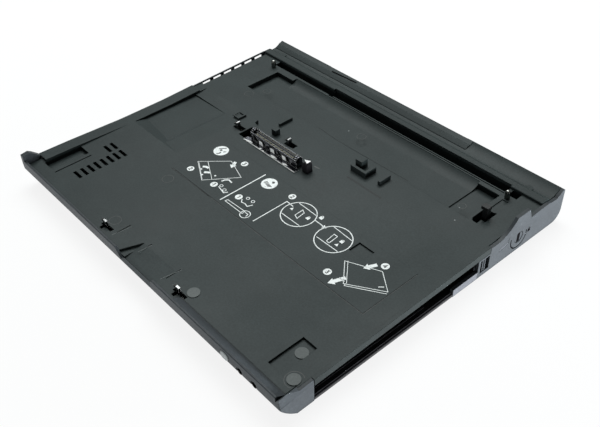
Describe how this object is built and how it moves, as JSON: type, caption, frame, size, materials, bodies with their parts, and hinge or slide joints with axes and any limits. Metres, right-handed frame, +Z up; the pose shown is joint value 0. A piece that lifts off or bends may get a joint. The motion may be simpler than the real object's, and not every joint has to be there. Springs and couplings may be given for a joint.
{
  "type": "laptop docking station",
  "caption": "Slab-shaped laptop docking station: sloped tray with docking connector, locating pins and sprung hooks, key lock, open drive bay and rear ports.",
  "frame": {"origin": "middle of the footprint on the plane that the feet stand on", "axes": "+X to the user's right, +Y to the rear, +Z up"},
  "size_m": [0.268, 0.2314, 0.028],
  "materials": {
    "case_plastic": "fine spark-eroded grain, satin",
    "black_plastic": "moulded, satin",
    "sheet_black": "black sheet steel",
    "steel": "plated sheet and turned steel",
    "bright_metal": "bright plated sheet",
    "contact_gold": "gold flashed",
    "spring_steel": "wire",
    "lock_metal": "dark plated",
    "board_green": "circuit board",
    "key_grey": "light grey",
    "pad_grey": "soft pads",
    "foot_rubber": "feet"
  },
  "bodies": {
    "case": {"base_shell": "case_plastic", "base_posts": "case_plastic", "top_cover": "case_plastic", "rear_port_plate": "black_plastic", "dock_connector_housing": "black_plastic", "dock_connector_shield": "bright_metal", "dock_connector_contacts": "contact_gold", "connector_carrier": "black_plastic", "locating_pin_left": "steel", "locating_pin_right": "steel", "tray_pads": "pad_grey", "latch_spring": "spring_steel", "lock_housing": "black_plastic", "dock_switch": "black_plastic", "microphone_jack": "black_plastic", "headphone_jack": "black_plastic", "front_board": "board_green", "bay_cage": "sheet_black", "bay_connector": "black_plastic", "main_board": "board_green", "dc_inlet": "black_plastic", "ethernet_port": "steel", "usb_ports": "steel", "vga_port": "steel", "case_screws": "steel", "rubber_feet": "foot_rubber"},
    "undock_latch": {"latch_frame": "steel", "front_hook_left": "steel", "front_hook_right": "steel", "middle_hook_left": "steel", "middle_hook_right": "steel", "undock_button": "black_plastic"},
    "lock": {"lock_cylinder": "lock_metal", "lock_crank": "lock_metal"},
    "rear_hook_slide_body": {"rear_hook": "lock_metal"},
    "dock_key": {"dock_button": "key_grey"},
    "bay_catch": {"bay_latch": "case_plastic"}
  },
  "joints": [
    {"name": "undock_slide", "type": "slide", "parent": "case", "child": "undock_latch", "axis": [1, 0, 0], "range_m": [0, 0.004], "stiffness_N_per_m": 400, "springref_m": -0.003},
    {"name": "lock_turn", "type": "hinge", "parent": "case", "child": "lock", "pos_m": [0.129, 0.07175, 0.011], "axis": [-1, 0, 0], "range_deg": [0, 90]},
    {"name": "rear_hook_slide", "type": "slide", "parent": "case", "child": "rear_hook_slide_body", "axis": [0, 1, 0], "range_m": [0, 0.004]},
    {"name": "dock_button_press", "type": "slide", "parent": "case", "child": "dock_key", "axis": [0, 1, 0], "range_m": [0, 0.0008], "stiffness_N_per_m": 500, "springref_m": -0.001},
    {"name": "bay_latch_slide", "type": "slide", "parent": "case", "child": "bay_catch", "axis": [0, 1, 0], "range_m": [0, 0.0029], "stiffness_N_per_m": 250, "springref_m": -0.002}
  ],
  "couplings": [
    {"joint": "lock_turn", "follows": "rear_hook_slide", "rad_per_m": 392.69}
  ]
}
